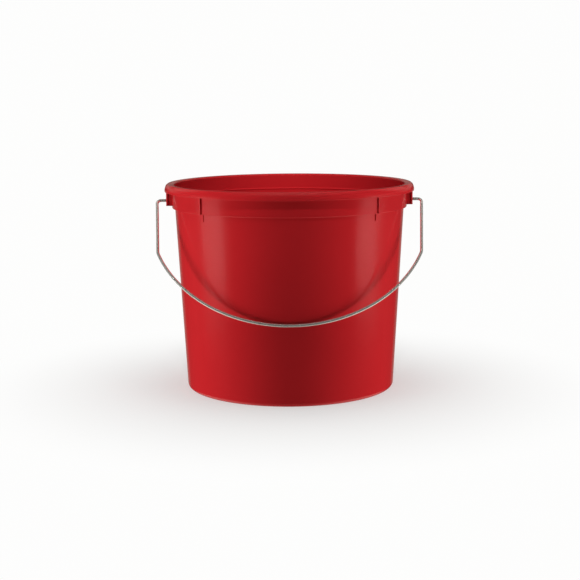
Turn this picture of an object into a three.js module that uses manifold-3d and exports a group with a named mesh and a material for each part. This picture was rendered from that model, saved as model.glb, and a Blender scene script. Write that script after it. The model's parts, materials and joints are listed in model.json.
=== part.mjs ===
// Round moulded pail with a bent wire handle.
//
// Two pieces: a one-piece plastic moulding (wall, floor, collar, lip, ears and ribs), and one length
// of round steel wire bent into a bail. The wire's two ends turn in blind holes in the ears.
//
// Units are millimetres. +Z is up, +X runs from ear to ear, -Y is the front, where the handle rests.
// The origin is the middle of the foot, on the surface that the pail stands on.

import * as THREE from 'three';
import { mergeVertices } from 'three/addons/utils/BufferGeometryUtils.js';
import Module from 'manifold-3d';

const wasm = await Module();
wasm.setup();

// ---- Driving dimensions --------------------------------------------------------------------

const HEIGHT = 183.3;            // foot to crest of the lip
const WALL = 1.8;                // thickness of the moulded wall
const FLOOR = 2.2;               // thickness of the floor

const BASE_RADIUS = 92.95;       // outside of the tapered wall, carried down to the foot
const SHOULDER_RADIUS = 101.9;   // outside of the tapered wall, just under the collar
const COLLAR_BOTTOM = 161.8;     // height of the step from wall to collar
const COLLAR_RADIUS = 104.5;     // outside of the collar
const LIP_RADIUS = 111;          // outside of the lip, at its widest
const LIP_BOTTOM = 176.4;        // lower edge of the lip's turned-down skirt

const BEAD_HEIGHT = 169.2;       // low raised ring inside the collar
const BEAD_DEPTH = 0.4;          // how far it stands out from the collar
const BEAD_WIDTH = 2;            // from its lower edge to its upper

const FOOT_WIDTH = 7;            // flat ring that the pail stands on, with its outer round
const FOOT_RECESS = 1.8;         // how far the floor's underside is raised inside that ring

const EAR_FACE = 109.8;          // from the middle to an ear's outer face
const EAR_WIDTH = 12;            // along Y
const EAR_BOTTOM = 163.2;
const EAR_WEB_WIDTH = 10.4;      // block behind the ear's outer plate, where it meets the plate
const EAR_WEB_ROOT = 12.8;       // the same block, where it meets the collar
const PIVOT_HEIGHT = 167.6;      // height of the holes that the wire turns in

const RIB_ANGLES = [44.5, 135.5, 224.5, 315.5];
const RIB_THICKNESS = 1.0;
const COLLAR_RIB_DEPTH = 1.1;    // how far a rib stands out from the collar
const WALL_RIB_DEPTH = 0.8;      // how far a rib stands out from the wall under it
const WALL_RIB_BOTTOM = 155.8;

const WIRE_RADIUS = 1.3;
const WIRE_REACH = 137.75;       // pivot axis to the middle of the bow
const BOW_RADIUS = 123;          // the long bow that joins the two arms
const ARM_TOP = 118.2;           // half the distance between the arms, at the pivot
const ARM_FOOT = 114.4;          // the same, where an arm's line meets the bow
const TOP_BEND = 3.4;            // inner-corner bend from arm to wire end, on the wire's middle
const FOOT_BEND = 12;            // bend from arm to bow, on the wire's middle

const CLEARANCE = 0.3;           // gap kept between the two pieces
const EMBED = 0.5;               // how far an added feature runs into the solid that it joins

// ---- Worked out from them ------------------------------------------------------------------

const TAPER = (SHOULDER_RADIUS - BASE_RADIUS) / COLLAR_BOTTOM;
const LEAN = Math.atan(TAPER);                        // the wall's angle from upright
const FLOOR_TOP = FOOT_RECESS + FLOOR;
const COLLAR_INSIDE = COLLAR_RADIUS - WALL;
const FLANGE_UNDERSIDE = HEIGHT - WALL;               // roof of the channel inside the lip
const SKIRT_INSIDE = LIP_RADIUS - WALL;
const HOLE_RADIUS = WIRE_RADIUS + CLEARANCE + 0.05;   // the flats of a faceted hole stand inside it
const HOLE_END = COLLAR_RADIUS + 0.9;                 // the holes are blind
const WIRE_END = HOLE_END + 0.4;

// The handle rests where the bow's middle meets the front wall. This is its angle from hanging
// straight down.
const WALL_DISTANCE = (BASE_RADIUS + TAPER * PIVOT_HEIGHT) * Math.cos(LEAN);
const REST_TILT = Math.asin((WALL_DISTANCE + WIRE_RADIUS + CLEARANCE) / WIRE_REACH) - LEAN;

const ROUND_STEPS = 72;                               // flats around the pail
const HOLE_STEPS = 16;
const WIRE_SIDES = 10;
const CORNER_TURN = THREE.MathUtils.degToRad(24);     // most that one flat of a corner turns
const WIRE_TURN = THREE.MathUtils.degToRad(16);
const BOW_TURN = THREE.MathUtils.degToRad(4.5);

// ---- Shared helpers ------------------------------------------------------------------------

/** Makes a manifold solid of a closed geometry. */
function solidOf(geometry) {
  const bare = geometry.clone();
  bare.deleteAttribute('normal');
  bare.deleteAttribute('uv');
  const merged = mergeVertices(bare);
  const triangles = [];
  for (let i = 0; i < merged.index.count; i += 3) {
    const [a, b, c] = [0, 1, 2].map((k) => merged.index.getX(i + k));
    if (a !== b && b !== c && c !== a) triangles.push(a, b, c);
  }
  const mesh = new wasm.Mesh({
    numProp: 3,
    vertProperties: new Float32Array(merged.attributes.position.array),
    triVerts: new Uint32Array(triangles),
  });
  return new wasm.Manifold(mesh);
}

/** Makes a geometry of a manifold solid. */
function geometryOf(solid) {
  const mesh = solid.getMesh();
  const geometry = new THREE.BufferGeometry();
  geometry.setAttribute('position', new THREE.BufferAttribute(mesh.vertProperties, 3));
  geometry.setIndex(new THREE.BufferAttribute(mesh.triVerts, 1));
  geometry.computeVertexNormals();
  return geometry;
}

/** Points along an arc that turns about centre by an angle, from start on. */
function arcPoints(start, centre, turn, largestTurn) {
  const steps = Math.max(1, Math.ceil(Math.abs(turn) / largestTurn));
  return Array.from({ length: steps + 1 }, (_, i) => start.clone().rotateAround(centre, (turn * i) / steps));
}

/** Points along an arc that rounds the corner between two straight lines. */
function roundedCorner(before, corner, after, radius, largestTurn) {
  const back = before.clone().sub(corner).normalize();
  const on = after.clone().sub(corner).normalize();
  const halfAngle = Math.acos(back.dot(on)) / 2;
  const middle = back.clone().add(on).normalize();
  const centre = corner.clone().addScaledVector(middle, radius / Math.sin(halfAngle));
  const start = corner.clone().addScaledVector(back, radius / Math.tan(halfAngle));
  const turn = -Math.sign(back.cross(on)) * (Math.PI - 2 * halfAngle);
  return arcPoints(start, centre, turn, largestTurn);
}

/** Outline through corners of [x, y, rounding radius], where a radius of 0 leaves a sharp corner. */
function roundedOutline(corners) {
  const points = corners.map(([x, y]) => new THREE.Vector2(x, y));
  return corners.flatMap(([, , radius], i) =>
    radius > 0 ? roundedCorner(points[i - 1], points[i], points[i + 1], radius, CORNER_TURN) : [points[i]],
  );
}

// ---- Pail ----------------------------------------------------------------------------------

/** Outside radius of the tapered wall at a height. */
function wallRadius(height) {
  return BASE_RADIUS + TAPER * height;
}

/** The turned body: floor, tapered wall, collar and the lip with its turned-down skirt. */
function pailBody() {
  const footInside = BASE_RADIUS - FOOT_WIDTH;
  const insideStep = COLLAR_BOTTOM + WALL;            // the collar's step, as seen inside
  const outline = roundedOutline([
    [0, FOOT_RECESS, 0],
    [footInside - FOOT_RECESS, FOOT_RECESS, 0],
    [footInside, 0, 0],
    [BASE_RADIUS, 0, 3.5],
    [SHOULDER_RADIUS, COLLAR_BOTTOM, 0],
    [COLLAR_RADIUS, COLLAR_BOTTOM + 0.2, 0.5],
    [COLLAR_RADIUS, FLANGE_UNDERSIDE, 0.8],
    [SKIRT_INSIDE, FLANGE_UNDERSIDE, 2.4],
    [SKIRT_INSIDE, LIP_BOTTOM, 0],
    [LIP_RADIUS, LIP_BOTTOM, 0.3],
    [LIP_RADIUS, LIP_BOTTOM + 2, 5],
    [LIP_RADIUS - 0.7, LIP_BOTTOM + 4.5, 3],
    [LIP_RADIUS - 2.6, HEIGHT, 2],
    [COLLAR_INSIDE + 4, HEIGHT, 0],
    [COLLAR_INSIDE, HEIGHT - 0.6, 1.1],
    [COLLAR_INSIDE, BEAD_HEIGHT + BEAD_WIDTH / 2, 0],
    [COLLAR_INSIDE - BEAD_DEPTH, BEAD_HEIGHT, 0],
    [COLLAR_INSIDE, BEAD_HEIGHT - BEAD_WIDTH / 2, 0],
    [COLLAR_INSIDE, insideStep + 1.2, 0],
    [wallRadius(insideStep) - WALL, insideStep - 1.6, 0],
    [wallRadius(FLOOR_TOP) - WALL, FLOOR_TOP, 5],
    [0, FLOOR_TOP, 0],
  ]);
  return new THREE.LatheGeometry(outline, ROUND_STEPS).rotateX(Math.PI / 2);
}

/** A block between two corners. */
function block(low, high) {
  const size = high.clone().sub(low);
  const middle = low.clone().add(high).multiplyScalar(0.5);
  return new THREE.BoxGeometry(size.x, size.y, size.z).translate(middle.x, middle.y, middle.z);
}

/** The outer plate of the ear at +X, hanging from the lip's skirt, with a rounded lower edge. */
function earPlate() {
  const inside = EAR_FACE - WALL;
  const top = LIP_BOTTOM + 2;
  const outline = roundedOutline([
    [inside, top, 0],
    [inside, EAR_BOTTOM, 0],
    [EAR_FACE, EAR_BOTTOM, 1.1],
    [EAR_FACE, top, 0],
  ]);
  const plate = new THREE.ExtrudeGeometry(new THREE.Shape(outline), { depth: EAR_WIDTH, bevelEnabled: false });
  return plate.rotateX(Math.PI / 2).translate(0, EAR_WIDTH / 2, 0);
}

/** The block between the ear's plate and the collar at +X, wider at its root. It carries the wire's end. */
function earWeb() {
  const root = COLLAR_RADIUS - EMBED;
  const tip = SKIRT_INSIDE + EMBED;
  const outline = [
    new THREE.Vector2(root, -EAR_WEB_ROOT / 2),
    new THREE.Vector2(tip, -EAR_WEB_WIDTH / 2),
    new THREE.Vector2(tip, EAR_WEB_WIDTH / 2),
    new THREE.Vector2(root, EAR_WEB_ROOT / 2),
  ];
  const depth = FLANGE_UNDERSIDE + EMBED - EAR_BOTTOM;
  const web = new THREE.ExtrudeGeometry(new THREE.Shape(outline), { depth, bevelEnabled: false });
  return web.translate(0, 0, EAR_BOTTOM);
}

/** The cutter for the blind hole in the ear at +X. */
function earHole() {
  const length = EAR_FACE + EMBED - HOLE_END;
  const cutter = new THREE.CylinderGeometry(HOLE_RADIUS, HOLE_RADIUS, length, HOLE_STEPS);
  return cutter.rotateZ(Math.PI / 2).translate(HOLE_END + length / 2, 0, PIVOT_HEIGHT);
}

/** The two short upright ribs at +X, one on the collar and one on the wall just under it. */
function ribPair() {
  const half = RIB_THICKNESS / 2;
  const onCollar = block(
    new THREE.Vector3(COLLAR_RADIUS - EMBED, -half, COLLAR_BOTTOM + 0.4),
    new THREE.Vector3(COLLAR_RADIUS + COLLAR_RIB_DEPTH, half, FLANGE_UNDERSIDE + EMBED),
  );
  const onWall = block(
    new THREE.Vector3(wallRadius(WALL_RIB_BOTTOM) - EMBED, -half, WALL_RIB_BOTTOM),
    new THREE.Vector3(wallRadius(WALL_RIB_BOTTOM) + WALL_RIB_DEPTH, half, COLLAR_BOTTOM + 0.7),
  );
  return [onCollar, onWall];
}

function pailGeometry() {
  let pail = solidOf(pailBody());
  for (const side of [0, Math.PI]) {
    pail = pail.add(solidOf(earPlate().rotateZ(side))).add(solidOf(earWeb().rotateZ(side)));
    pail = pail.subtract(solidOf(earHole().rotateZ(side)));
  }
  for (const angle of RIB_ANGLES) {
    for (const rib of ribPair()) {
      pail = pail.add(solidOf(rib.rotateZ(THREE.MathUtils.degToRad(angle))));
    }
  }
  return geometryOf(pail);
}

// ---- Wire handle ---------------------------------------------------------------------------

/** A path that is sampled at exactly its own points, with each section square to the bend there. */
class WirePath extends THREE.Curve {
  constructor(points) {
    super();
    this.points = points;
  }

  getUtoTmapping(u) {
    return u;
  }

  getPoint(t, target = new THREE.Vector3()) {
    return target.copy(this.points[Math.round(t * (this.points.length - 1))]);
  }

  getTangent(t, target = new THREE.Vector3()) {
    const last = this.points.length - 1;
    const i = Math.round(t * last);
    const before = this.points[Math.max(i - 1, 0)];
    const after = this.points[Math.min(i + 1, last)];
    const arriving = this.points[i].clone().sub(before).normalize();
    const leaving = after.clone().sub(this.points[i]).normalize();
    return target.copy(arriving).add(leaving).normalize();
  }
}

/**
 * Centreline of the +X half of the handle in its own plane, from the wire's end to the middle of
 * the bow. x is the distance from the middle, y the distance from the pivot axis.
 */
function halfCentreline() {
  const bowCentre = new THREE.Vector2(0, WIRE_REACH - BOW_RADIUS);
  const end = new THREE.Vector2(WIRE_END, 0);
  const armTop = new THREE.Vector2(ARM_TOP, 0);
  const armFoot = new THREE.Vector2(ARM_FOOT, bowCentre.y + Math.sqrt(BOW_RADIUS ** 2 - ARM_FOOT ** 2));
  const topBend = roundedCorner(end, armTop, armFoot, TOP_BEND, WIRE_TURN);

  // The lower bend touches the arm's line and the bow's circle. Its centre is FOOT_BEND from the
  // line and BOW_RADIUS - FOOT_BEND from the bow's centre.
  const alongArm = armFoot.clone().sub(armTop).normalize();
  const inward = new THREE.Vector2(-alongArm.y, alongArm.x);
  const offset = armTop.clone().addScaledVector(inward, FOOT_BEND).sub(bowCentre);
  const half = offset.dot(alongArm);
  const rest = offset.lengthSq() - (BOW_RADIUS - FOOT_BEND) ** 2;
  const along = -half + Math.sqrt(half ** 2 - rest);
  const bendCentre = armTop.clone().addScaledVector(inward, FOOT_BEND).addScaledVector(alongArm, along);
  const bendStart = armTop.clone().addScaledVector(alongArm, along);
  const toBow = bendCentre.clone().sub(bowCentre);
  const bendTurn = toBow.angle() - bendStart.clone().sub(bendCentre).angle();
  const footBend = arcPoints(bendStart, bendCentre, THREE.MathUtils.euclideanModulo(bendTurn, 2 * Math.PI), WIRE_TURN);
  const bowStart = footBend.at(-1);
  const bow = arcPoints(bowStart, bowCentre, Math.PI / 2 - toBow.angle(), BOW_TURN);
  return [end, ...topBend, ...footBend, ...bow.slice(1)];
}

/** The handle hanging straight down from its pivot axis, which is the X axis here. */
function handleGeometry() {
  const half = halfCentreline();
  const otherHalf = half.slice(0, -1).reverse().map((point) => new THREE.Vector2(-point.x, point.y));
  const points = [...half, ...otherHalf].map((point) => new THREE.Vector3(point.x, 0, -point.y));
  const section = new THREE.Shape().absarc(0, 0, WIRE_RADIUS, 0, 2 * Math.PI);
  return new THREE.ExtrudeGeometry(section, {
    steps: points.length - 1,
    curveSegments: WIRE_SIDES / 2,                    // a whole circle takes two flats for each
    extrudePath: new WirePath(points),
  });
}

// ---- Materials -----------------------------------------------------------------------------

function redPlastic() {
  return new THREE.MeshStandardMaterial({ color: 0xb4202a, roughness: 0.3, metalness: 0 });
}

function brightWire() {
  return new THREE.MeshStandardMaterial({ color: 0xc6c3b8, roughness: 0.3, metalness: 1 });
}

// ---- Assembly ------------------------------------------------------------------------------

const bucket = new THREE.Group();

const pail = new THREE.Mesh(pailGeometry(), redPlastic());
pail.name = 'pail';
bucket.add(pail);

const wireHandle = new THREE.Mesh(handleGeometry(), brightWire());
wireHandle.name = 'wire_handle';
wireHandle.position.z = PIVOT_HEIGHT;
wireHandle.rotation.x = -REST_TILT;
bucket.add(wireHandle);

export default bucket;
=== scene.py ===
"""A round moulded pail with a bent wire bail, on a pale studio floor.

Lengths are in metres. +Z is up, +X runs from ear to ear, and -Y is the front, where the bail rests.
Two pieces are built: the plastic moulding, which stays, and the wire bail, which swings about the
line through the two ears.
"""

import json
import logging
import math
from dataclasses import dataclass
from enum import Enum
from typing import Iterable, Mapping, Sequence

import bmesh
import bpy
from mathutils import Matrix, Vector


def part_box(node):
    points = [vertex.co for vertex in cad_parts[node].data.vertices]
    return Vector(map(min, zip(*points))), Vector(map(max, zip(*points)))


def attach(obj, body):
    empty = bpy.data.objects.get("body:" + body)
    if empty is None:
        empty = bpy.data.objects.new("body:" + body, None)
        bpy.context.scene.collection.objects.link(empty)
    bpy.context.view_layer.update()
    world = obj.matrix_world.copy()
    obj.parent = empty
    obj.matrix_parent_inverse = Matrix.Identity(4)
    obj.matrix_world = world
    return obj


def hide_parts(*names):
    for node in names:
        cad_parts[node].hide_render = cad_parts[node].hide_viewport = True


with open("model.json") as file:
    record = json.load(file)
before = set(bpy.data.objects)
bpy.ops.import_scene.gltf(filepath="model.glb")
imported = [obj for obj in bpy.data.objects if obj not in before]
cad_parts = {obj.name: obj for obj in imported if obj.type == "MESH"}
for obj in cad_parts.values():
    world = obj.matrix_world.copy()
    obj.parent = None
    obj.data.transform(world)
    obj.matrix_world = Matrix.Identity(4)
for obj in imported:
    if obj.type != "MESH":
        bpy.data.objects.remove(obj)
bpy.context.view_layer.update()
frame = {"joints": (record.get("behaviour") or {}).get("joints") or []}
MM = 0.001

log = logging.getLogger("pail")


# ---- Outlines ----------------------------------------------------------------


@dataclass(frozen=True)
class Corner:
    """A corner of an outline, in a plane.

    Attributes:
        x: First coordinate.
        y: Second coordinate.
        radius: Rounding radius, where 0 leaves the corner sharp.
    """

    x: float
    y: float
    radius: float = 0.0

    @property
    def point(self) -> Vector:
        """The corner as a plane vector."""
        return Vector((self.x, self.y))


def turned(point: Vector, centre: Vector, angle: float) -> Vector:
    """Turns a plane point about a centre.

    Args:
        point: The point to turn.
        centre: The point that stays.
        angle: Angle in radians, positive from x towards y.

    Returns:
        The turned point.
    """
    arm = point - centre
    cosine, sine = math.cos(angle), math.sin(angle)
    return centre + Vector((arm.x * cosine - arm.y * sine, arm.x * sine + arm.y * cosine))


def arc(start: Vector, centre: Vector, turn: float, step: float) -> list[Vector]:
    """Points from start along an arc of angle turn, with both its ends and no more than step apart."""
    count = max(1, math.ceil(abs(turn) / step))
    return [turned(start, centre, turn * i / count) for i in range(count + 1)]


def rounded_corner(before: Vector, corner: Corner, after: Vector, step: float) -> list[Vector]:
    """Points of the arc that rounds one corner between two straight lines.

    Args:
        before: A point on the line that arrives at the corner.
        corner: The corner, with its radius.
        after: A point on the line that leaves it.
        step: Largest angle between two points.

    Returns:
        The arc's points, in order.
    """
    back = (before - corner.point).normalized()
    onward = (after - corner.point).normalized()
    half_angle = math.acos(back.dot(onward)) / 2
    middle = (back + onward).normalized()
    centre = corner.point + middle * (corner.radius / math.sin(half_angle))
    start = corner.point + back * (corner.radius / math.tan(half_angle))
    side = back.x * onward.y - back.y * onward.x
    return arc(start, centre, -math.copysign(math.pi - 2 * half_angle, side), step)


def rounded_outline(corners: Sequence[Corner], step: float) -> list[Vector]:
    """Outline through corners, each rounded by its own radius.

    Args:
        corners: The corners in order. The first and the last stay sharp.
        step: Largest angle between two points of a rounding.

    Returns:
        The outline's points.
    """
    points: list[Vector] = []
    for i, corner in enumerate(corners):
        if corner.radius > 0:
            points += rounded_corner(corners[i - 1].point, corner, corners[i + 1].point, step)
        else:
            points.append(corner.point)
    return points


# ---- Mesh work ---------------------------------------------------------------


class Joining(Enum):
    """How one solid changes another."""

    ADD = "UNION"
    CUT = "DIFFERENCE"


def object_of(name: str, mesh: bmesh.types.BMesh) -> bpy.types.Object:
    """Makes a scene object of a bmesh, which is freed.

    Args:
        name: Name of the object and of its mesh.
        mesh: The finished bmesh.

    Returns:
        The new object, linked to the scene.
    """
    bmesh.ops.recalc_face_normals(mesh, faces=mesh.faces)
    data = bpy.data.meshes.new(name)
    mesh.to_mesh(data)
    mesh.free()
    result = bpy.data.objects.new(name, data)
    bpy.context.scene.collection.objects.link(result)
    return result


def apply_modifiers(piece: bpy.types.Object) -> None:
    """Writes a piece's modifiers into its mesh and removes them."""
    bpy.context.view_layer.update()
    graph = bpy.context.evaluated_depsgraph_get()
    final = bpy.data.meshes.new_from_object(piece.evaluated_get(graph), depsgraph=graph)
    old = piece.data
    piece.modifiers.clear()
    piece.data = final
    final.name = piece.name
    bpy.data.meshes.remove(old)


def combine(piece: bpy.types.Object, tools: Iterable[bpy.types.Object], joining: Joining) -> None:
    """Adds solids to a piece, or cuts them out of it, and removes them.

    Args:
        piece: The solid that is kept.
        tools: The solids to add or cut, which may meet each other.
        joining: Whether they are added or cut.
    """
    tools = list(tools)
    for tool in tools:
        modifier = piece.modifiers.new(tool.name, "BOOLEAN")
        modifier.operation = joining.value
        modifier.solver = "EXACT"
        modifier.object = tool
    apply_modifiers(piece)
    for tool in tools:
        data = tool.data
        bpy.data.objects.remove(tool)
        bpy.data.meshes.remove(data)


def soften_edges(piece: bpy.types.Object, width: float, sharper_than: float) -> None:
    """Rounds a piece's sharp edges a little and shades it smooth.

    Args:
        piece: The piece to finish.
        width: Width of the rounding.
        sharper_than: Edges that turn by more than this angle are rounded.
    """
    bevel = piece.modifiers.new("edge", "BEVEL")
    bevel.width = width
    bevel.segments = 2
    bevel.limit_method = "ANGLE"
    bevel.angle_limit = sharper_than
    bevel.miter_outer = "MITER_ARC"
    apply_modifiers(piece)
    piece.data.shade_smooth()
    weighted = piece.modifiers.new("normals", "WEIGHTED_NORMAL")
    weighted.keep_sharp = True
    apply_modifiers(piece)


def prism(name: str, outline: Sequence[Vector], placed: Matrix, depth: float) -> bpy.types.Object:
    """A flat outline given a thickness.

    Args:
        name: Name of the object.
        outline: The outline's points in its own plane.
        placed: Where the outline's plane goes. The thickness is half on each side of it.
        depth: The thickness.

    Returns:
        The closed solid.
    """
    mesh = bmesh.new()
    ends = []
    for side in (-depth / 2, depth / 2):
        ends.append([mesh.verts.new(placed @ Vector((point.x, point.y, side))) for point in outline])
    near, far = ends
    mesh.faces.new(near)
    mesh.faces.new(far)
    for i in range(len(outline)):
        after = (i + 1) % len(outline)
        mesh.faces.new((near[i], near[after], far[after], far[i]))
    return object_of(name, mesh)


# ---- Shading -----------------------------------------------------------------


Colour = tuple[float, float, float, float]


def shaded(colour: Colour, share: float) -> Colour:
    """A colour made lighter or darker.

    Args:
        colour: The colour.
        share: What its parts are multiplied by.

    Returns:
        The new colour, which is opaque.
    """
    red, green, blue = (part * share for part in colour[:3])
    return red, green, blue, 1.0


class Value:
    """A shader value. Arithmetic on it adds Math nodes."""

    def __init__(self, graph: "Graph", socket: bpy.types.NodeSocket) -> None:
        """Wraps an output socket of a graph."""
        self.graph = graph
        self.socket = socket

    def _math(self, operation: str, *terms: "Value | float") -> "Value":
        """Adds one Math node, with its inputs in order, and gives back its result."""
        return self.graph.node("ShaderNodeMath", {"operation": operation}, dict(enumerate(terms)))

    def __add__(self, other: "Value | float") -> "Value":
        """self + other."""
        return self._math("ADD", self, other)

    __radd__ = __add__

    def __sub__(self, other: "Value | float") -> "Value":
        """self - other."""
        return self._math("SUBTRACT", self, other)

    def __rsub__(self, other: "Value | float") -> "Value":
        """other - self."""
        return self._math("SUBTRACT", other, self)

    def __mul__(self, other: "Value | float") -> "Value":
        """self * other."""
        return self._math("MULTIPLY", self, other)

    __rmul__ = __mul__

    def __pow__(self, other: "Value | float") -> "Value":
        """self to the power of other."""
        return self._math("POWER", self, other)

    def __rpow__(self, other: "Value | float") -> "Value":
        """other to the power of self."""
        return self._math("POWER", other, self)

    def angle_from(self, other: "Value | float") -> "Value":
        """Arc tangent of self over other, in radians."""
        return self._math("ARCTAN2", self, other)

    def size(self) -> "Value":
        """self without its sign."""
        return self._math("ABSOLUTE", self)

    def ramp(self, low: float, high: float) -> "Value":
        """Smooth step.

        Args:
            low: Value that gives 0.
            high: Value that gives 1. It may be lower than low.

        Returns:
            A value from 0 to 1.
        """
        settings = {"interpolation_type": "SMOOTHSTEP", "clamp": True}
        sockets = {"Value": self, "From Min": low, "From Max": high}
        return self.graph.node("ShaderNodeMapRange", settings, sockets)


class Graph:
    """The nodes of one material or of the world."""

    def __init__(self, tree: bpy.types.NodeTree) -> None:
        """Empties a node tree and works in it."""
        self.tree = tree
        tree.nodes.clear()

    def node(
        self,
        kind: str,
        settings: Mapping[str, object] | None = None,
        sockets: Mapping[str | int, object] | None = None,
        result: str | int = 0,
    ) -> Value:
        """Adds a node.

        Args:
            kind: The node's type.
            settings: Its own settings, which are set first.
            sockets: Values or links for its inputs, by name or by number.
            result: The output to give back, by name or by number.

        Returns:
            That output.
        """
        made = self.tree.nodes.new(kind)
        for name, setting in (settings or {}).items():
            setattr(made, name, setting)
        for name, content in (sockets or {}).items():
            if isinstance(content, Value):
                self.tree.links.new(content.socket, made.inputs[name])
            else:
                made.inputs[name].default_value = content
        return Value(self, made.outputs[result] if made.outputs else None)

    def place(self) -> Value:
        """The point on the surface, in the piece's own frame."""
        return self.node("ShaderNodeTexCoord", result="Object")

    def parts(self, vector: Value) -> tuple[Value, Value, Value]:
        """Splits a vector into x, y and z."""
        first = self.node("ShaderNodeSeparateXYZ", sockets={0: vector})
        outputs = first.socket.node.outputs
        return first, Value(self, outputs[1]), Value(self, outputs[2])

    def vector(self, x: Value | float, y: Value | float, z: Value | float) -> Value:
        """Joins x, y and z into a vector."""
        return self.node("ShaderNodeCombineXYZ", sockets={0: x, 1: y, 2: z})

    def noise(self, where: Value, size: float, detail: float = 2.0, roughness: float = 0.5) -> Value:
        """Soft random pattern from 0 to 1, whose patches are a size wide, with finer layers in them."""
        sockets = {"Vector": where, "Scale": 1 / size, "Detail": detail, "Roughness": roughness}
        return self.node("ShaderNodeTexNoise", sockets=sockets)

    def blend(self, share: Value | float, first: Value | Colour, second: Value | Colour) -> Value:
        """Mixes two colours.

        Args:
            share: 0 gives the first and 1 the second.
            first: A colour.
            second: Another colour.

        Returns:
            The mixed colour.
        """
        factor, colour_a, colour_b, colour_out = 0, 6, 7, 2
        sockets = {factor: share, colour_a: first, colour_b: second}
        return self.node("ShaderNodeMix", {"data_type": "RGBA"}, sockets, result=colour_out)

    def bump(self, height: Value, distance: float, strength: float = 1.0) -> Value:
        """Normal of a surface with small relief, from 0 to 1 high times a distance."""
        sockets = {"Height": height, "Distance": distance, "Strength": strength}
        return self.node("ShaderNodeBump", sockets=sockets, result="Normal")


@dataclass(frozen=True)
class Finish:
    """A surface finish.

    Attributes:
        name: Name of its material.
    """

    name: str

    def material(self) -> bpy.types.Material:
        """Makes the finish's material."""
        material = bpy.data.materials.new(self.name)
        material.use_nodes = True
        graph = Graph(material.node_tree)
        graph.node("ShaderNodeOutputMaterial", sockets={"Surface": self.surface(graph)})
        return material

    def surface(self, graph: Graph) -> Value:
        """Builds the finish's shader in a graph and gives back its output."""
        raise NotImplementedError


@dataclass(frozen=True)
class MouldedPlastic(Finish):
    """Glossy opaque plastic as it leaves the mould, with light scuffs on the foot and the lip.

    Attributes:
        colour: Colour of the plastic.
        scuffed: Colour where it is rubbed.
        scuff: Strength of that colour.
        gloss: Roughness of the untouched surface.
        uneven: How far the roughness varies.
        dulling: Roughness that rubbing adds.
        refraction: Refractive index.
        mottle: Share by which the colour varies.
        relief: Depth of the surface's texture.
        foot_scuff: Height up to which the foot is rubbed.
        lip_scuff: Height from which the lip is rubbed.
        lip_fade: Height over which that rubbing comes in.
        cloud_size: Width of the large soft patches in the colour.
        speckle_size: Width of the small ones.
        scratch_size: Width of the rubbed spots.
        skin_size: Width of the soft unevenness of the moulded surface.
        grain_size: Width of its fine grain.
    """

    colour: Colour = (0.43, 0.0118, 0.0155, 1.0)
    scuffed: Colour = (0.5, 0.045, 0.05, 1.0)
    scuff: float = 0.6
    gloss: float = 0.13
    uneven: float = 0.05
    dulling: float = 0.3
    refraction: float = 1.49
    mottle: float = 0.07
    relief: float = 0.015 * MM
    foot_scuff: float = 3 * MM
    lip_scuff: float = 182 * MM
    lip_fade: float = 1.2 * MM
    cloud_size: float = 34 * MM
    speckle_size: float = 0.7 * MM
    scratch_size: float = 2.2 * MM
    skin_size: float = 1.6 * MM
    grain_size: float = 0.35 * MM

    def surface(self, graph: Graph) -> Value:
        """Builds the plastic's shader.

        Args:
            graph: The graph to build it in.

        Returns:
            The shader's output.
        """
        where = graph.place()
        _, _, height = graph.parts(where)
        cloud = graph.noise(where, self.cloud_size, detail=3.0)
        speckle = graph.noise(where, self.speckle_size, detail=1.0)
        scratches = graph.noise(where, self.scratch_size, detail=4.0, roughness=0.7).ramp(0.5, 0.72)
        rubbed_foot = height.ramp(self.foot_scuff, 0)
        rubbed_lip = height.ramp(self.lip_scuff, self.lip_scuff + self.lip_fade) * 0.5
        rubbed = (rubbed_foot + rubbed_lip) * scratches

        dark = shaded(self.colour, 1 - self.mottle)
        light = shaded(self.colour, 1 + self.mottle)
        tone = graph.blend(cloud * 0.6 + speckle * 0.4, dark, light)
        skin = graph.noise(where, self.skin_size, detail=2.0)
        grain = graph.noise(where, self.grain_size, detail=1.0)
        sockets = {
            "Base Color": graph.blend(rubbed * self.scuff, tone, self.scuffed),
            "Roughness": self.gloss + (cloud - 0.5) * self.uneven + rubbed * self.dulling,
            "IOR": self.refraction,
            "Normal": graph.bump(skin * 0.7 + grain * 0.3 + rubbed * 0.5, self.relief),
        }
        return graph.node("ShaderNodeBsdfPrincipled", sockets=sockets)


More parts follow.
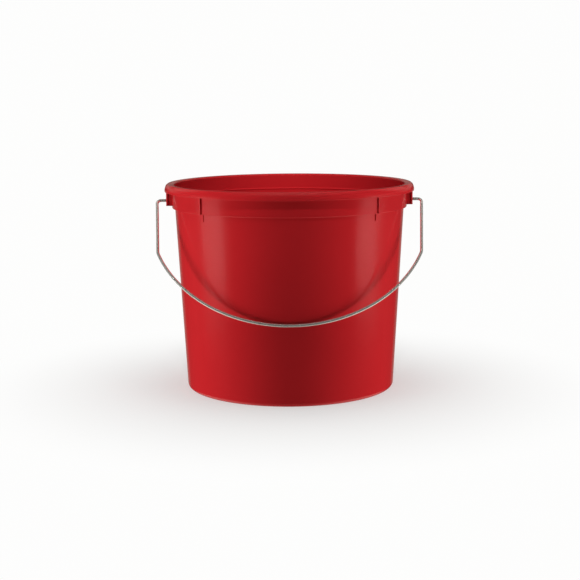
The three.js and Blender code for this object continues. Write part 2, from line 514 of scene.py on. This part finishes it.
@dataclass(frozen=True)
class DrawnWire(Finish):
    """Bright drawn steel wire with a thin zinc coat and fine lines along its length.

    Attributes:
        colour: Colour of the metal.
        dull: Colour of its duller patches.
        gloss: Roughness of the bright metal.
        uneven: How far the roughness varies.
        metallic: Share of the surface that is bare metal and not oxide.
        relief: Depth of the drawn lines.
        lines_round: How fine the drawn lines are round the wire.
        lines_along: How often they change along one girth of it.
        patch_size: Width of the dull patches.
    """

    colour: Colour = (0.90, 0.89, 0.85, 1.0)
    dull: Colour = (0.70, 0.68, 0.63, 1.0)
    gloss: float = 0.16
    uneven: float = 0.1
    metallic: float = 0.75
    relief: float = 0.02 * MM
    lines_round: float = 40.0
    lines_along: float = 25.0
    patch_size: float = 9 * MM

    def surface(self, graph: Graph) -> Value:
        """Builds the wire's shader.

        Args:
            graph: The graph to build it in.

        Returns:
            The shader's output.
        """
        around, along, _ = graph.parts(graph.node("ShaderNodeTexCoord", result="UV"))
        on_wire = graph.vector(around * self.lines_round, along * self.lines_along, 0.0)
        lines = graph.noise(on_wire, 1.0, detail=3.0, roughness=0.65)
        patches = graph.noise(graph.place(), self.patch_size, detail=4.0, roughness=0.6).ramp(0.42, 0.68)
        sockets = {
            "Base Color": graph.blend(patches * 0.45 + lines * 0.2, self.colour, self.dull),
            "Metallic": self.metallic,
            "Roughness": self.gloss + patches * self.uneven + (lines - 0.5) * self.uneven,
            "Normal": graph.bump(lines, self.relief, strength=0.6),
        }
        return graph.node("ShaderNodeBsdfPrincipled", sockets=sockets)


@dataclass(frozen=True)
class StudioFloor(Finish):
    """Pale matt floor that runs into the background without a line.

    Attributes:
        backdrop: Colour of the background.
        colour: Colour of the floor.
        worn: What that colour is multiplied by in its darker patches.
        patch_size: Width of those patches.
        roughness: Roughness of the floor.
        near: Where the smooth step from floor to background starts, as a distance from the middle.
            It is below 0, so even the middle is a little way up the step.
        far: Where it ends.
    """

    backdrop: Colour
    colour: Colour = (0.86, 0.86, 0.855, 1.0)
    worn: float = 0.985
    patch_size: float = 3 * MM
    roughness: float = 0.9
    near: float = -0.15
    far: float = 0.3

    def surface(self, graph: Graph) -> Value:
        """Builds the floor's shader.

        Args:
            graph: The graph to build it in.

        Returns:
            The shader's output.
        """
        where = graph.place()
        grain = graph.noise(where, self.patch_size, detail=3.0)
        colour = graph.blend(grain, self.colour, shaded(self.colour, self.worn))
        sockets = {"Base Color": colour, "Roughness": self.roughness}
        matt = graph.node("ShaderNodeBsdfPrincipled", sockets=sockets)
        distant = graph.node("ShaderNodeEmission", sockets={"Color": self.backdrop})
        x, y, _ = graph.parts(where)
        share = ((x * x + y * y) ** 0.5).ramp(self.near, self.far)
        return graph.node("ShaderNodeMixShader", sockets={0: share, 1: matt, 2: distant})


# ---- Pail --------------------------------------------------------------------


class Side(Enum):
    """Which ear, as its angle round the pail."""

    RIGHT = 0.0
    LEFT = math.pi


@dataclass
class PailMoulding:
    """The plastic moulding: floor, tapered wall, collar, lip, two ears and four pairs of ribs.

    Attributes:
        height: Foot to crest of the lip.
        lip_radius: Outside of the lip.
        pivot_height: Height of the holes in the ears.
        edge: Width of the rounding on every sharp edge.
        edge_angle: Edges that turn by more than this are rounded, in degrees.
        wall: Thickness of the wall.
        floor: Thickness of the floor.
        base_radius: Outside of the tapered wall, carried down to the foot.
        shoulder_radius: Outside of the tapered wall, just under the collar.
        collar_bottom: Height of the step from wall to collar.
        collar_radius: Outside of the collar.
        step_rise: How much the underside of that step rises outward.
        ledge_rise: From the ledge inside the collar up to the collar's wall.
        ledge_drop: From that ledge down to the tapered wall, and the rounding of both.
        lip_bottom: Lower edge of the lip's turned-down skirt.
        skirt_edge: Rounding of that lower edge, inside and outside.
        skirt_height: Height of the skirt's upright part.
        brow_in: How far the lip leans in above it.
        brow_height: Height above the skirt's lower edge at which it turns in for the crest.
        crest_in: From the lip's outside to the outer edge of its crest.
        crest_width: From the collar's inside to the inner edge of the crest.
        mouth_drop: From the crest down to the collar's inside wall.
        bead_height: Height of the low raised ring inside the collar.
        bead_depth: How far that ring stands out from the collar.
        bead_width: Its width, from its lower edge to its upper.
        bead_round: Rounding of that ring.
        foot_width: Flat ring that the pail stands on, with its outer round.
        foot_recess: How far the floor's underside is raised inside that ring.
        foot_round: Rounding from the foot to the wall.
        floor_round: Rounding inside, from the floor to the wall.
        gate_radius: Radius of the dimple in the middle of the underside.
        gate_depth: Depth of that dimple.
        gate_slope: Width of its sloping side.
        gate_round: Rounding of it.
        ear_face: From the middle to an ear's outer face.
        ear_width: Width of an ear along Y.
        ear_bottom: Lower edge of an ear.
        ear_edge: Rounding of an ear's upright outer edges.
        ear_overlap: How far an ear's plate runs up into the lip's skirt.
        web_width: Width of the block behind an ear's plate, where it meets the plate.
        web_root: Width of that block where it meets the collar.
        hole_radius: Radius of the holes that the wire turns in.
        hole_end: From the middle to the blind end of a hole.
        rib_angles: Places of the ribs round the pail, in degrees.
        rib_thickness: Thickness of every rib.
        collar_rib_depth: How far a rib stands out from the collar.
        wall_rib_depth: How far a rib stands out from the wall under it.
        collar_rib_start: From the collar's lower edge up to the rib on it.
        wall_rib_bottom: Lower end of the rib on the wall.
        wall_rib_overlap: How far that rib runs up past the collar's lower edge.
        embed: How far an added feature runs into the solid that it joins.
        segments: Flats round the pail.
    """

    height: float
    lip_radius: float
    pivot_height: float
    edge: float = 0.2 * MM
    edge_angle: float = 35.0
    wall: float = 1.8 * MM
    floor: float = 2.2 * MM
    base_radius: float = 92.95 * MM
    shoulder_radius: float = 101.9 * MM
    collar_bottom: float = 161.8 * MM
    collar_radius: float = 104.5 * MM
    step_rise: float = 0.2 * MM
    ledge_rise: float = 1.2 * MM
    ledge_drop: float = 1.6 * MM
    lip_bottom: float = 176.4 * MM
    skirt_edge: float = 0.3 * MM
    skirt_height: float = 2 * MM
    brow_in: float = 0.7 * MM
    brow_height: float = 4.5 * MM
    crest_in: float = 2.6 * MM
    crest_width: float = 4 * MM
    mouth_drop: float = 0.6 * MM
    bead_height: float = 169.2 * MM
    bead_depth: float = 0.4 * MM
    bead_width: float = 2.0 * MM
    bead_round: float = 0.5 * MM
    foot_width: float = 7 * MM
    foot_recess: float = 1.8 * MM
    foot_round: float = 3.5 * MM
    floor_round: float = 5 * MM
    gate_radius: float = 4 * MM
    gate_depth: float = 0.5 * MM
    gate_slope: float = 1 * MM
    gate_round: float = 0.4 * MM
    ear_face: float = 109.8 * MM
    ear_width: float = 12 * MM
    ear_bottom: float = 163.2 * MM
    ear_edge: float = 1.3 * MM
    ear_overlap: float = 2 * MM
    web_width: float = 10.4 * MM
    web_root: float = 12.8 * MM
    hole_radius: float = 1.65 * MM
    hole_end: float = 105.4 * MM
    rib_angles: tuple[float, ...] = (44.5, 135.5, 224.5, 315.5)
    rib_thickness: float = 1.0 * MM
    collar_rib_depth: float = 1.1 * MM
    wall_rib_depth: float = 0.8 * MM
    collar_rib_start: float = 0.4 * MM
    wall_rib_bottom: float = 155.8 * MM
    wall_rib_overlap: float = 0.7 * MM
    embed: float = 0.5 * MM
    segments: int = 288

    @property
    def taper(self) -> float:
        """How much the wall's radius grows for each unit of height."""
        return (self.shoulder_radius - self.base_radius) / self.collar_bottom

    @property
    def flange_underside(self) -> float:
        """Height of the roof of the channel inside the lip."""
        return self.height - self.wall

    def wall_radius(self, height: float) -> float:
        """Outside radius of the tapered wall at a height."""
        return self.base_radius + self.taper * height

    def outline(self) -> list[Vector]:
        """The turned body's outline, from the middle of the underside to the middle of the floor."""
        foot_inside = self.base_radius - self.foot_width
        floor_top = self.foot_recess + self.floor
        gate_top = self.foot_recess + self.gate_depth
        collar_inside = self.collar_radius - self.wall
        skirt_inside = self.lip_radius - self.wall
        ledge = self.collar_bottom + self.wall
        half_bead = self.bead_width / 2
        corners = [
            Corner(0, gate_top),
            Corner(self.gate_radius, gate_top, self.gate_round),
            Corner(self.gate_radius + self.gate_slope, self.foot_recess, self.gate_round),
            Corner(foot_inside - 2 * self.foot_recess, self.foot_recess, 1.2 * MM),
            Corner(foot_inside, 0, 0.8 * MM),
            Corner(self.base_radius, 0, self.foot_round),
            Corner(self.shoulder_radius, self.collar_bottom, 0.35 * MM),
            Corner(self.collar_radius, self.collar_bottom + self.step_rise, 0.5 * MM),
            Corner(self.collar_radius, self.flange_underside, 0.8 * MM),
            Corner(skirt_inside, self.flange_underside, 2.4 * MM),
            Corner(skirt_inside, self.lip_bottom, self.skirt_edge),
            Corner(self.lip_radius, self.lip_bottom, self.skirt_edge),
            Corner(self.lip_radius, self.lip_bottom + self.skirt_height, 5 * MM),
            Corner(self.lip_radius - self.brow_in, self.lip_bottom + self.brow_height, 3 * MM),
            Corner(self.lip_radius - self.crest_in, self.height, 2 * MM),
            Corner(collar_inside + self.crest_width, self.height, 3 * MM),
            Corner(collar_inside, self.height - self.mouth_drop, 1.1 * MM),
            Corner(collar_inside, self.bead_height + half_bead, self.bead_round),
            Corner(collar_inside - self.bead_depth, self.bead_height, self.bead_round),
            Corner(collar_inside, self.bead_height - half_bead, self.bead_round),
            Corner(collar_inside, ledge + self.ledge_rise, self.ledge_drop),
            Corner(self.wall_radius(ledge) - self.wall, ledge - self.ledge_drop, self.ledge_drop),
            Corner(self.wall_radius(floor_top) - self.wall, floor_top, self.floor_round),
            Corner(0, floor_top),
        ]
        return rounded_outline(corners, math.radians(9))

    def turned_body(self) -> bpy.types.Object:
        """The outline turned about the pail's axis."""
        outline = self.outline()
        mesh = bmesh.new()
        rings: list[list[bmesh.types.BMVert]] = []
        for point in outline:
            if point.x < 1e-9:
                rings.append([mesh.verts.new((0, 0, point.y))] * self.segments)
                continue
            ring = []
            for i in range(self.segments):
                angle = math.tau * i / self.segments
                at = (point.x * math.cos(angle), point.x * math.sin(angle), point.y)
                ring.append(mesh.verts.new(at))
            rings.append(ring)
        for lower, upper in zip(rings, rings[1:]):
            for i in range(self.segments):
                after = (i + 1) % self.segments
                corners = [lower[i], lower[after], upper[after], upper[i]]
                mesh.faces.new(list(dict.fromkeys(corners)))
        return object_of("pail_moulding", mesh)

    def rib(
        self, name: str, surface: float, depth: float, bottom: float, top: float, angle: float
    ) -> bpy.types.Object:
        """One rib, as an upright block.

        Args:
            name: Name of the object.
            surface: Radius of the surface that it stands on.
            depth: How far it stands out from that surface.
            bottom: Height of its lower face.
            top: Height of its upper face.
            angle: Its place round the pail, in degrees.

        Returns:
            The block.
        """
        inside, outside = surface - self.embed, surface + depth
        sides = ((inside, bottom), (outside, bottom), (outside, top), (inside, top))
        turn = Matrix.Rotation(math.radians(angle), 4, "Z")
        placed = turn @ Matrix.Rotation(math.pi / 2, 4, "X")
        return prism(name, [Vector(side) for side in sides], placed, self.rib_thickness)

    def ear(self, side: Side) -> list[bpy.types.Object]:
        """One ear: its outer plate and the block behind it.

        Args:
            side: Which ear.

        Returns:
            The two solids.
        """
        half = self.ear_width / 2
        inside = self.ear_face - self.wall
        plan = rounded_outline(
            [
                Corner(inside, -half),
                Corner(self.ear_face, -half, self.ear_edge),
                Corner(self.ear_face, half, self.ear_edge),
                Corner(inside, half),
            ],
            math.radians(12),
        )
        root, tip = self.collar_radius - self.embed, self.lip_radius - self.wall + self.embed
        web_half, root_half = self.web_width / 2, self.web_root / 2
        web_corners = ((root, -root_half), (tip, -web_half), (tip, web_half), (root, root_half))
        solids = []
        for name, outline, upper in (
            ("ear_plate", plan, self.lip_bottom + self.ear_overlap),
            ("ear_web", [Vector(at) for at in web_corners], self.flange_underside + self.embed),
        ):
            middle = Matrix.Translation((0, 0, (self.ear_bottom + upper) / 2))
            turn = Matrix.Rotation(side.value, 4, "Z")
            solids.append(prism(name, outline, turn @ middle, upper - self.ear_bottom))
        return solids

    def hole_cutter(self, side: Side) -> bpy.types.Object:
        """The round cutter of one ear's blind hole.

        Args:
            side: Which ear.

        Returns:
            The cutter.
        """
        centre = Vector((0, 0))
        rim = arc(Vector((self.hole_radius, 0)), centre, math.tau, math.radians(7.5))[:-1]
        length = self.ear_face + self.embed - self.hole_end
        middle = Matrix.Translation((self.hole_end + length / 2, 0, self.pivot_height))
        placed = Matrix.Rotation(side.value, 4, "Z") @ middle @ Matrix.Rotation(math.pi / 2, 4, "Y")
        return prism("hole", rim, placed, length)

    def ribs(self, angle: float) -> list[bpy.types.Object]:
        """The rib on the collar and the rib on the wall under it.

        Args:
            angle: Their place round the pail, in degrees.

        Returns:
            The two solids.
        """
        on_collar = self.rib(
            "collar_rib",
            self.collar_radius,
            self.collar_rib_depth,
            self.collar_bottom + self.collar_rib_start,
            self.flange_underside + self.embed,
            angle,
        )
        on_wall = self.rib(
            "wall_rib",
            self.wall_radius(self.wall_rib_bottom),
            self.wall_rib_depth,
            self.wall_rib_bottom,
            self.collar_bottom + self.wall_rib_overlap,
            angle,
        )
        return [on_collar, on_wall]

    def build(self) -> bpy.types.Object:
        """Builds the moulding.

        Returns:
            The finished mesh object.
        """
        body = self.turned_body()
        added = [solid for side in Side for solid in self.ear(side)]
        added += [rib for angle in self.rib_angles for rib in self.ribs(angle)]
        combine(body, added, Joining.ADD)
        combine(body, [self.hole_cutter(side) for side in Side], Joining.CUT)
        soften_edges(body, self.edge, math.radians(self.edge_angle))
        return body

    def dress(self, piece: bpy.types.Object, finish: Finish) -> None:
        """Gives the moulding its finish and its place in the frame.

        Args:
            piece: The mesh object.
            finish: Its finish.
        """
        piece.data.materials.clear()
        piece.data.materials.append(finish.material())
        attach(piece, "pail")
        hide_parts("pail")


# ---- Bail --------------------------------------------------------------------


@dataclass
class WireBail:
    """The bent wire bail.

    Attributes:
        pail: The moulding that it hangs in.
        radius: Radius of the wire.
        reach: Pivot axis to the middle of the bow, on the wire's middle.
        bow_radius: Radius of the long bow that joins the two arms.
        arm_top: Half the distance between the arms, at the pivot.
        arm_foot: The same, where an arm's line meets the bow.
        top_bend: Radius of the bend from arm to wire end.
        foot_bend: Radius of the bend from arm to bow.
        clearance: Gap to the wall.
        end_gap: Gap to the end of each hole.
        edge: Width of the rounding on the cut ends.
        edge_angle: Edges that turn by more than this are rounded, in degrees.
        sides: Flats round the wire.
        bend_step: Largest angle between two points of a bend, in degrees.
        bow_step: The same, on the bow.
    """

    pail: PailMoulding
    radius: float = 1.3 * MM
    reach: float = 137.75 * MM
    bow_radius: float = 123 * MM
    arm_top: float = 118.19 * MM
    arm_foot: float = 114.4 * MM
    top_bend: float = 3.4 * MM
    foot_bend: float = 12 * MM
    clearance: float = 0.3 * MM
    end_gap: float = 0.4 * MM
    edge: float = 0.2 * MM
    edge_angle: float = 50.0
    sides: int = 24
    bend_step: float = 5.0
    bow_step: float = 1.5

    @property
    def rest_tilt(self) -> float:
        """Angle from hanging straight down to leaning on the front wall."""
        pail = self.pail
        lean = math.atan(pail.taper)
        wall_distance = pail.wall_radius(pail.pivot_height) * math.cos(lean)
        return math.asin((wall_distance + self.radius + self.clearance) / self.reach) - lean

    def half_centreline(self) -> list[Vector]:
        """The +X half of the wire's middle line, in the bail's own plane.

        Returns:
            Points from the wire's end to the middle of the bow. x is the distance from the middle
            and y the distance from the pivot axis.
        """
        step = math.radians(self.bend_step)
        bow_centre = Vector((0, self.reach - self.bow_radius))
        end = Vector((self.pail.hole_end + self.end_gap, 0))
        arm_top = Vector((self.arm_top, 0))
        bow_there = math.sqrt(self.bow_radius**2 - self.arm_foot**2)
        arm_foot = Vector((self.arm_foot, bow_centre.y + bow_there))
        top_bend = rounded_corner(end, Corner(self.arm_top, 0, self.top_bend), arm_foot, step)

        # The lower bend touches the arm's line and the bow's circle, so its centre is one bend
        # radius from the line, and the difference of the two radii from the bow's centre.
        along_arm = (arm_foot - arm_top).normalized()
        inward = Vector((-along_arm.y, along_arm.x))
        offset = arm_top + inward * self.foot_bend - bow_centre
        half = offset.dot(along_arm)
        rest = offset.length_squared - (self.bow_radius - self.foot_bend) ** 2
        along = -half + math.sqrt(half**2 - rest)
        bend_start = arm_top + along_arm * along
        bend_centre = bend_start + inward * self.foot_bend
        to_bow = bend_centre - bow_centre
        bow_angle = math.atan2(to_bow.y, to_bow.x)
        start_arm = bend_start - bend_centre
        bend_turn = bow_angle - math.atan2(start_arm.y, start_arm.x)
        foot_bend = arc(bend_start, bend_centre, bend_turn, step)
        bow = arc(foot_bend[-1], bow_centre, math.pi / 2 - bow_angle, math.radians(self.bow_step))
        return [end, *top_bend, *foot_bend, *bow[1:]]

    def centreline(self) -> list[Vector]:
        """The wire's middle line at rest, from its +X end to its -X end."""
        half = self.half_centreline()
        other_half = [Vector((-point.x, point.y)) for point in reversed(half[:-1])]
        sine, cosine = math.sin(self.rest_tilt), math.cos(self.rest_tilt)
        top = self.pail.pivot_height
        return [Vector((p.x, -p.y * sine, top - p.y * cosine)) for p in half + other_half]

    def build(self) -> bpy.types.Object:
        """Sweeps the wire's section along its middle line.

        Returns:
            The finished mesh object, with its length in v and its girth in u.
        """
        line = self.centreline()
        across = Vector((0, math.cos(self.rest_tilt), -math.sin(self.rest_tilt)))
        mesh = bmesh.new()
        wrap = mesh.loops.layers.uv.new("UVMap")
        rings, lengths = [], []
        travelled = 0.0
        for i, point in enumerate(line):
            before, after = line[max(i - 1, 0)], line[min(i + 1, len(line) - 1)]
            arriving, leaving = (point - before).normalized(), (after - point).normalized()
            tangent = (arriving + leaving).normalized()
            inward = tangent.cross(across)
            travelled += (point - before).length
            ring = []
            for k in range(self.sides):
                angle = math.tau * k / self.sides
                outward = across * math.cos(angle) + inward * math.sin(angle)
                ring.append(mesh.verts.new(point + outward * self.radius))
            rings.append(ring)
            lengths.append(travelled)
        for (lower, upper), (low, high) in zip(zip(rings, rings[1:]), zip(lengths, lengths[1:])):
            for k in range(self.sides):
                after = (k + 1) % self.sides
                face = mesh.faces.new((lower[k], lower[after], upper[after], upper[k]))
                places = ((k, low), (k + 1, low), (k + 1, high), (k, high))
                for loop, (column, length) in zip(face.loops, places):
                    loop[wrap].uv = (column / self.sides, length / (math.tau * self.radius))
        for end in (rings[0], rings[-1]):
            mesh.faces.new(end)
        piece = object_of("wire_bail", mesh)
        soften_edges(piece, self.edge, math.radians(self.edge_angle))
        return piece

    def dress(self, piece: bpy.types.Object, finish: Finish) -> None:
        """Gives the bail its finish and its place in the frame.

        Args:
            piece: The mesh object.
            finish: Its finish.
        """
        piece.data.materials.clear()
        piece.data.materials.append(finish.material())
        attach(piece, "handle")
        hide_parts("wire_handle")


# ---- Studio ------------------------------------------------------------------


@dataclass(frozen=True)
class Lamp:
    """A studio lamp that neither the camera nor the gloss sees.

    Attributes:
        name: Name of the lamp.
        azimuth: Where it stands round its target, in degrees from the front towards +X.
        elevation: How far above its target it stands, in degrees.
        distance: How far away it stands.
        power: Power in watts.
    """

    name: str
    azimuth: float
    elevation: float
    distance: float
    power: float

    def light(self) -> bpy.types.Light:
        """Makes the lamp's light, without its power."""
        raise NotImplementedError

    def build(self, target: Vector) -> None:
        """Puts the lamp in the scene.

        Args:
            target: The point that it faces.
        """
        azimuth, elevation = math.radians(self.azimuth), math.radians(self.elevation)
        level = math.cos(elevation)
        outward = Vector((math.sin(azimuth) * level, -math.cos(azimuth) * level, math.sin(elevation)))
        light = self.light()
        light.energy = self.power
        lamp = bpy.data.objects.new(self.name, light)
        lamp.location = target + outward * self.distance
        lamp.rotation_euler = outward.to_track_quat("Z", "Y").to_euler()
        lamp.visible_camera = False
        lamp.visible_glossy = False
        bpy.context.scene.collection.objects.link(lamp)


@dataclass(frozen=True)
class SoftBox(Lamp):
    """A large soft lamp.

    Attributes:
        width: Width of its panel.
        height: Height of its panel.
    """

    width: float
    height: float

    def light(self) -> bpy.types.Light:
        """Makes a light from the whole panel."""
        light = bpy.data.lights.new(self.name, "AREA")
        light.shape = "RECTANGLE"
        light.size, light.size_y = self.width, self.height
        return light


@dataclass(frozen=True)
class Snoot(Lamp):
    """A lamp with a narrow beam.

    Attributes:
        beam: Width of the beam, in degrees.
        softness: Share of the beam over which it fades out.
        source: Radius of the lamp's opening.
    """

    beam: float
    softness: float
    source: float

    def light(self) -> bpy.types.Light:
        """Makes a light in the form of the beam."""
        light = bpy.data.lights.new(self.name, "SPOT")
        light.spot_size = math.radians(self.beam)
        light.spot_blend = self.softness
        light.shadow_soft_size = self.source
        return light


@dataclass
class Studio:
    """Floor, lamps, background and camera.

    Attributes:
        camera_distance: From the pail's axis to the camera, level.
        camera_height: Height of the camera.
        look_down: How far the camera looks down, in degrees.
        roll: How far the camera leans, in degrees.
        lens: Focal length in millimetres.
        sensor: Width of the camera's sensor in millimetres.
        floor_radius: Radius of the floor.
        floor_sides: Flats round the floor.
        dark: Strength of the dark room, as the gloss mirrors it.
        card: Strength of the two white cards that stand low beside the pail.
        card_upper: Share of that strength on a card's upper part.
        card_tail: Share of it on the strip behind a card.
        card_turn: How much further round the right card stands than the left, in degrees.
        card_loss: Share by which the right card is weaker.
        back: Strength of the low white wall behind the pail.
        top: Strength of the ceiling.
        overhead: Share of that strength straight above the pail.
        flank: Share of it on the strip above and behind each side.
        below: Strength of the floor close to the pail.
        below_all_round: Share of that strength that the floor has all round, beside the sides' own.
        tint: Colour of the room's light.
        backdrop: Colour of the background.
    """

    camera_distance: float = 1.1897
    camera_height: float = 0.2765
    look_down: float = 9.11
    roll: float = -0.407
    lens: float = 82.73
    sensor: float = 36.0
    floor_radius: float = 12.0
    floor_sides: int = 96
    dark: float = 0.03
    card: float = 0.55
    card_upper: float = 0.45
    card_tail: float = 0.08
    card_turn: float = 5.0
    card_loss: float = 0.12
    back: float = 0.22
    top: float = 0.4
    overhead: float = 0.6
    flank: float = 0.9
    below: float = 0.7
    below_all_round: float = 0.2
    tint: Colour = (1.0, 0.95, 0.84, 1.0)
    backdrop: Colour = (0.985, 0.985, 0.98, 1.0)

    def build_camera(self) -> None:
        """Puts the camera in the scene."""
        data = bpy.data.cameras.new("camera")
        data.lens = self.lens
        data.sensor_width = self.sensor
        camera = bpy.data.objects.new("camera", data)
        place = Matrix.Translation((0, -self.camera_distance, self.camera_height))
        level = Matrix.Rotation(math.pi / 2 - math.radians(self.look_down), 4, "X")
        camera.matrix_world = place @ level @ Matrix.Rotation(math.radians(self.roll), 4, "Z")
        bpy.context.scene.collection.objects.link(camera)
        bpy.context.scene.camera = camera

    def build_floor(self) -> None:
        """Puts the floor in the scene."""
        mesh = bmesh.new()
        bmesh.ops.create_circle(
            mesh, cap_ends=True, segments=self.floor_sides, radius=self.floor_radius
        )
        floor = object_of("floor", mesh)
        floor.data.materials.append(StudioFloor("pale_floor", self.backdrop).material())
        floor.visible_glossy = False
        floor.visible_diffuse = False
        floor.visible_shadow = False

    def build_world(self) -> None:
        """Sets what the glossy surfaces mirror, the room's weak light and the background."""
        world = bpy.data.worlds.new("studio")
        bpy.context.scene.world = world
        world.use_nodes = True
        graph = Graph(world.node_tree)
        x, y, z = graph.parts(graph.node("ShaderNodeTexCoord", result="Generated"))
        azimuth = x.size().angle_from(-1 * y)
        elevation = z.angle_from((x * x + y * y) ** 0.5)

        def band(angle: Value, low: float, high: float, soft: float) -> Value:
            """1 between two angles in degrees, with soft ends."""
            rise = angle.ramp(math.radians(low - soft / 2), math.radians(low + soft / 2))
            return rise * angle.ramp(math.radians(high + soft / 2), math.radians(high - soft / 2))

        def fade(angle: Value, low: float, high: float) -> Value:
            """0 to 1 between two angles in degrees."""
            return angle.ramp(math.radians(low), math.radians(high))

        # Two low cards, one on each side, brighter along their lower edge.
        right = x.ramp(-0.1, 0.1)
        across = azimuth - right * math.radians(self.card_turn)
        upper = self.card_upper * band(elevation, -7.5, 12, 2.4)
        round_card = fade(across, 112, 80) + self.card_tail * fade(across, 132, 112)
        card = fade(across, 56, 78) * round_card
        card = card * (band(elevation, -14.2, -7.5, 2.4) + upper) * (1 - self.card_loss * right)

        # A low wall behind the pail, and a ledge above it that runs further round.
        behind = fade(azimuth, 146, 166) * band(elevation, -16, -3, 4)
        ledge = fade(azimuth, 105, 140) * band(elevation, 3, 15, 5)

        # The ceiling overhead, and a strip of it above and behind each side.
        flank = band(azimuth, 118, 145, 14) * band(elevation, 16, 50, 10)
        sky = fade(elevation, 45, 75) * self.overhead + flank * self.flank

        # The floor, strongest beside the pail.
        beside = band(azimuth, 70, 140, 30)
        under = fade(elevation, -20, -30) * fade(azimuth, 170, 140) * (self.below_all_round + beside)

        strength = self.dark + card * self.card + (behind + ledge) * self.back
        strength = strength + sky * self.top + under * self.below
        room = graph.node("ShaderNodeBackground", sockets={"Color": self.tint, "Strength": strength})
        seen = graph.node("ShaderNodeBackground", sockets={"Color": self.backdrop, "Strength": 1.0})
        to_camera = graph.node("ShaderNodeLightPath", result="Is Camera Ray")
        both = graph.node("ShaderNodeMixShader", sockets={0: to_camera, 1: room, 2: seen})
        graph.node("ShaderNodeOutputWorld", sockets={"Surface": both})

    def build_lamps(self, target: Vector) -> None:
        """Puts the lamps in the scene.

        Args:
            target: The point that they face.
        """
        side_panel = {"width": 0.8, "height": 0.35}
        ceiling_panel = {"width": 3.0, "height": 3.0}
        lamps = [
            SoftBox("left_softbox", -82, -7, distance=1.6, power=30.5, **side_panel),
            SoftBox("right_softbox", 83, -7, distance=1.6, power=26.8, **side_panel),
            SoftBox("front_softbox", 0, 14, distance=1.6, power=0.3, width=1.6, height=0.6),
            SoftBox("top_softbox", 0, 77, distance=0.55, power=1.2, width=0.3, height=0.3),
            SoftBox("ceiling", 0, 62, distance=2.5, power=5, **ceiling_panel),
            SoftBox("floor_bounce", 0, -89, distance=1.0, power=12, **ceiling_panel),
        ]
        for lamp in lamps:
            lamp.build(target)

        # Over the front of the lip, onto the inside of the back wall.
        inside = target + Vector((0, 0.1, 0.07))
        snoot = Snoot("inside_light", 0, 46, distance=1.4, power=74, beam=13, softness=0.8, source=0.1)
        snoot.build(inside)

    def build(self, target: Vector) -> None:
        """Builds the whole studio.

        Args:
            target: The middle of the object.
        """
        self.build_camera()
        self.build_floor()
        self.build_world()
        self.build_lamps(target)
        bpy.context.scene.view_settings.view_transform = "Standard"


# ---- Assembly ----------------------------------------------------------------


def main() -> None:
    logging.basicConfig(level=logging.INFO, format="%(name)s: %(message)s")
    low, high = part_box("pail")
    pivot = frame["joints"][0]["pos_m"]

    moulding = PailMoulding(height=high.z, lip_radius=high.x, pivot_height=pivot[2])
    pail = moulding.build()
    moulding.dress(pail, MouldedPlastic("red_plastic"))
    log.info("%s: %d faces", pail.name, len(pail.data.polygons))

    bail = WireBail(moulding)
    wire = bail.build()
    bail.dress(wire, DrawnWire("bright_wire"))
    tilt = math.degrees(bail.rest_tilt)
    log.info("%s: %d faces, leaning %.2f degrees", wire.name, len(wire.data.polygons), tilt)

    Studio().build((low + high) / 2)


if __name__ == "__main__":
    main()
